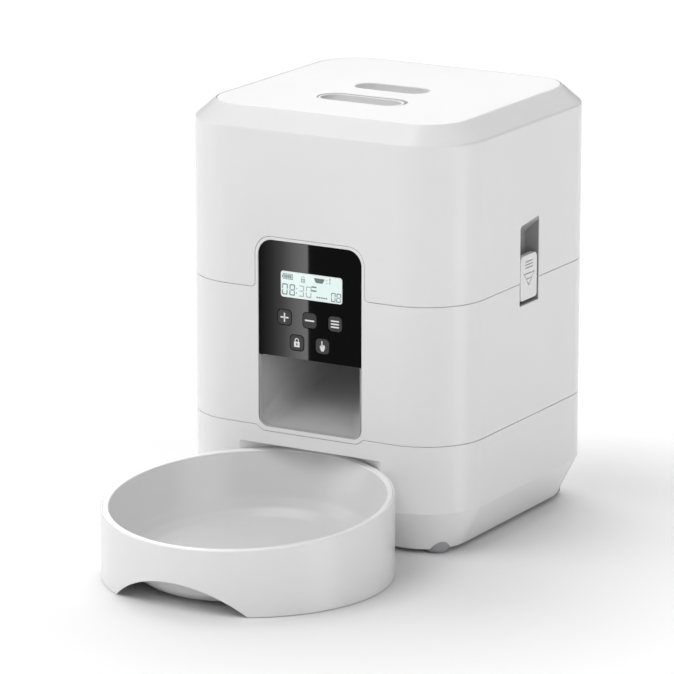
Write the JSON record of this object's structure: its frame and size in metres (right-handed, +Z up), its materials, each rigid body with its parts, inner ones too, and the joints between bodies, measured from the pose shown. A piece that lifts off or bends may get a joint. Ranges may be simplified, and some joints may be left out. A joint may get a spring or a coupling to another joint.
{
  "type": "automatic pet feeder",
  "caption": "Automatic dry-food pet feeder: rounded square tower with a lift-off hopper and lid, black control panel with display and keys, delivery chute and a round pull-out bowl.",
  "frame": {"origin": "on the floor, at the centre of the whole footprint, bowl included", "axes": "+Z up; the panel and the bowl face -Y, +X to the viewer's right; the footprint is longest along Y"},
  "size_m": [0.19, 0.3455, 0.257],
  "materials": {
    "shell_white": "smooth semi-gloss white, cool",
    "lid_white": "smooth semi-gloss white, a little brighter than the shell",
    "inner_white": "satin white",
    "inner_grey": "satin light grey",
    "panel_black": "mirror-gloss black",
    "lcd_glass": "clear window over a pale mint display",
    "key_grey": "satin dark grey with white symbols",
    "silicone": "matt translucent grey",
    "foot_rubber": "matt grey",
    "board_green": "satin solder mask",
    "steel": "plain bright steel",
    "gear_cream": "satin natural",
    "cell_blue": "wrapped in blue film",
    "inlet_black": "satin black"
  },
  "bodies": {
    "tower": {"base_shell": "shell_white", "bottom_cover": "inner_grey", "foot_pad_front_left": "foot_rubber", "foot_pad_front_right": "foot_rubber", "foot_pad_rear_left": "foot_rubber", "foot_pad_rear_right": "foot_rubber", "bottom_screw_front_left": "steel", "bottom_screw_front_right": "steel", "bottom_screw_rear_left": "steel", "bottom_screw_rear_right": "steel", "battery_box": "inner_grey", "battery_1": "cell_blue", "battery_2": "cell_blue", "battery_3": "cell_blue", "contact_plate_front": "steel", "contact_plate_rear": "steel", "power_inlet": "inlet_black", "power_board": "board_green", "body_housing": "shell_white", "housing_deck": "inner_grey", "food_chute": "inner_grey", "panel_face": "panel_black", "lcd_window": "lcd_glass", "lcd_module": "lcd_glass", "key_mat": "silicone", "control_board": "board_green", "panel_back_cover": "inner_grey", "motor": "steel", "gearbox_case": "inner_grey", "gearbox_cover": "inner_grey", "gearbox_screw_1": "steel", "gearbox_screw_2": "steel"},
    "hopper": {"hopper_shell": "shell_white", "hopper_funnel": "inner_white", "portion_well": "inner_white", "well_floor": "inner_white", "outlet_wiper": "silicone", "latch_spring_left": "steel", "latch_spring_right": "steel"},
    "portion_wheel": {"portion_wheel": "inner_grey"},
    "drive_gear": {"drive_gear": "gear_cream"},
    "motor_pinion": {"motor_pinion": "gear_cream"},
    "latch_left": {"side_latch_left": "shell_white"},
    "latch_right": {"side_latch_right": "shell_white"},
    "lid": {"lid": "lid_white", "lid_pan": "inner_white", "lid_seal": "silicone", "desiccant_box": "inner_white", "desiccant_grille": "inner_grey", "lid_catch_spring": "steel"},
    "lid_catch": {"lid_catch": "lid_white"},
    "key_plus": {"key_plus": "key_grey"},
    "key_minus": {"key_minus": "key_grey"},
    "key_set": {"key_set": "key_grey"},
    "key_lock": {"key_lock": "key_grey"},
    "key_feed": {"key_feed": "key_grey"},
    "bowl_stand": {"bowl_stand": "shell_white"},
    "food_bowl": {"food_bowl": "shell_white"},
    "battery_door": {"battery_door": "inner_grey"}
  },
  "joints": [
    {"name": "hopper_lift", "type": "slide", "parent": "tower", "child": "hopper", "axis": [0, 0, 1], "range_m": [0, 0.1]},
    {"name": "lid_lift", "type": "slide", "parent": "hopper", "child": "lid", "axis": [0, 0, 1], "range_m": [0, 0.06]},
    {"name": "lid_catch_slide", "type": "slide", "parent": "lid", "child": "lid_catch", "axis": [0, 1, 0], "range_m": [0, 0.003], "stiffness_N_per_m": 250, "deforming": ["lid_catch_spring"]},
    {"name": "latch_left_press", "type": "slide", "parent": "hopper", "child": "latch_left", "axis": [0, 0, -1], "range_m": [0, 0.0016], "stiffness_N_per_m": 300, "deforming": ["latch_spring_left"]},
    {"name": "latch_right_press", "type": "slide", "parent": "hopper", "child": "latch_right", "axis": [0, 0, -1], "range_m": [0, 0.0016], "stiffness_N_per_m": 300, "deforming": ["latch_spring_right"]},
    {"name": "portion_wheel_spin", "type": "hinge", "parent": "hopper", "child": "portion_wheel", "pos_m": [0, 0.07785, 0.15], "axis": [0, 0, 1], "continuous": true},
    {"name": "drive_gear_spin", "type": "hinge", "parent": "tower", "child": "drive_gear", "pos_m": [0, 0.07785, 0.12], "axis": [0, 0, 1], "continuous": true},
    {"name": "motor_pinion_spin", "type": "hinge", "parent": "tower", "child": "motor_pinion", "pos_m": [0, 0.10785, 0.12], "axis": [0, 0, 1], "continuous": true},
    {"name": "key_plus_press", "type": "slide", "parent": "tower", "child": "key_plus", "axis": [0, 1, 0], "range_m": [0, 0.0008], "stiffness_N_per_m": 600},
    {"name": "key_minus_press", "type": "slide", "parent": "tower", "child": "key_minus", "axis": [0, 1, 0], "range_m": [0, 0.0008], "stiffness_N_per_m": 600},
    {"name": "key_set_press", "type": "slide", "parent": "tower", "child": "key_set", "axis": [0, 1, 0], "range_m": [0, 0.0008], "stiffness_N_per_m": 600},
    {"name": "key_lock_press", "type": "slide", "parent": "tower", "child": "key_lock", "axis": [0, 1, 0], "range_m": [0, 0.0008], "stiffness_N_per_m": 600},
    {"name": "key_feed_press", "type": "slide", "parent": "tower", "child": "key_feed", "axis": [0, 1, 0], "range_m": [0, 0.0008], "stiffness_N_per_m": 600},
    {"name": "bowl_pull", "type": "slide", "parent": "tower", "child": "bowl_stand", "axis": [0, -1, 0], "range_m": [0, 0.12]},
    {"name": "food_bowl_lift", "type": "slide", "parent": "bowl_stand", "child": "food_bowl", "axis": [0, 0, 1], "range_m": [0, 0.002]},
    {"name": "battery_door_slide", "type": "slide", "parent": "tower", "child": "battery_door", "axis": [0, 1, 0], "range_m": [0, 0.02]}
  ],
  "couplings": [
    {"joint": "drive_gear_spin", "follows": "portion_wheel_spin", "ratio": 1},
    {"joint": "motor_pinion_spin", "follows": "portion_wheel_spin", "ratio": -3}
  ]
}
